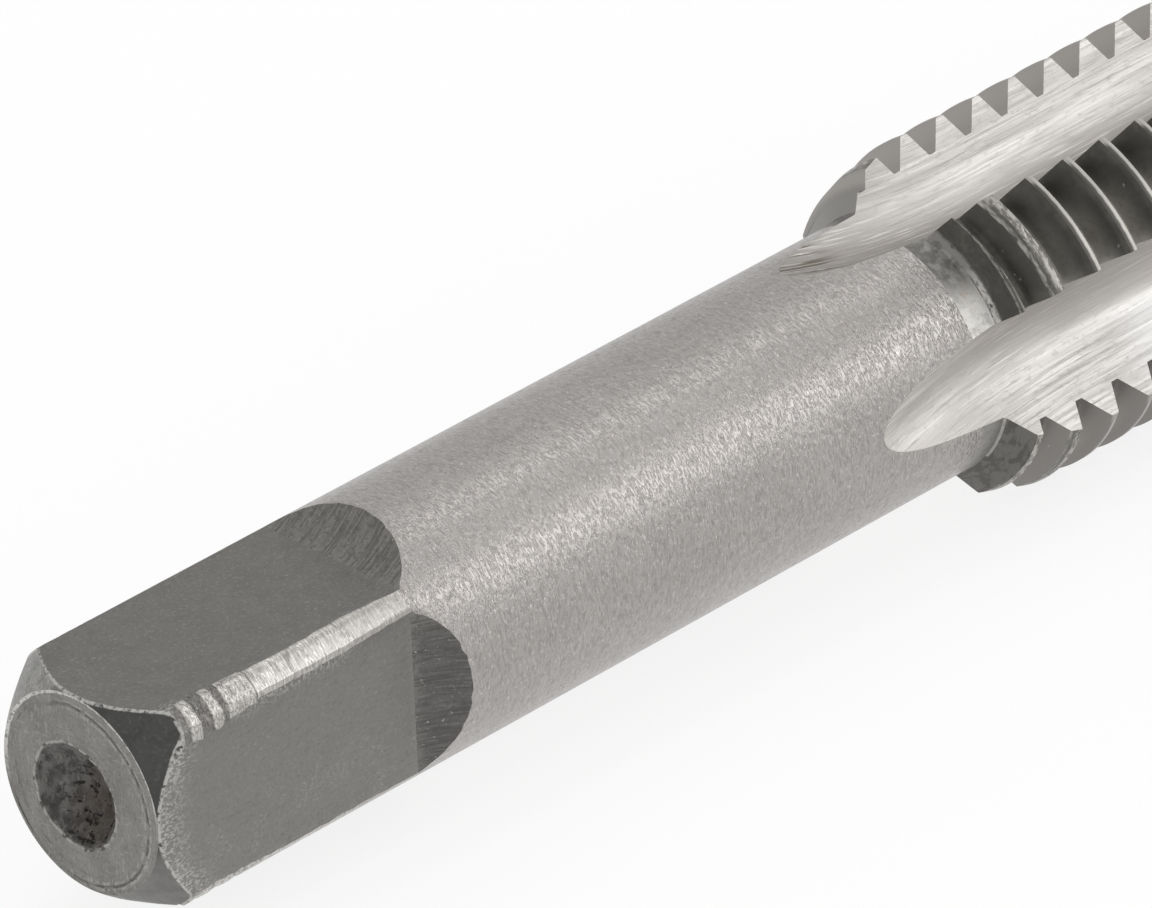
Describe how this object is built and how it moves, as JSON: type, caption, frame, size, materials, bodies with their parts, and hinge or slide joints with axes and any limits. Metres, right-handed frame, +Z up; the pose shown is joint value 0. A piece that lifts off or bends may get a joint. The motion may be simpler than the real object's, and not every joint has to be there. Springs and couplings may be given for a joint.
{
  "type": "thread tap",
  "caption": "Hand tap for cutting internal threads: round shank with a driving square, four straight flutes and a coarse right-hand thread, lying on its lands.",
  "frame": {"origin": "on the floor, under the middle of the tap's length", "axes": "+X along the tap's axis from the square end to the point, +Z up, square to the floor on which two lands rest"},
  "size_m": [0.09, 0.0127, 0.0127],
  "materials": {
    "thread_tap": "ground shank, milled flutes, dark unground thread flanks and square"
  },
  "bodies": {
    "root": {"thread_tap": "thread_tap"}
  },
  "joints": []
}
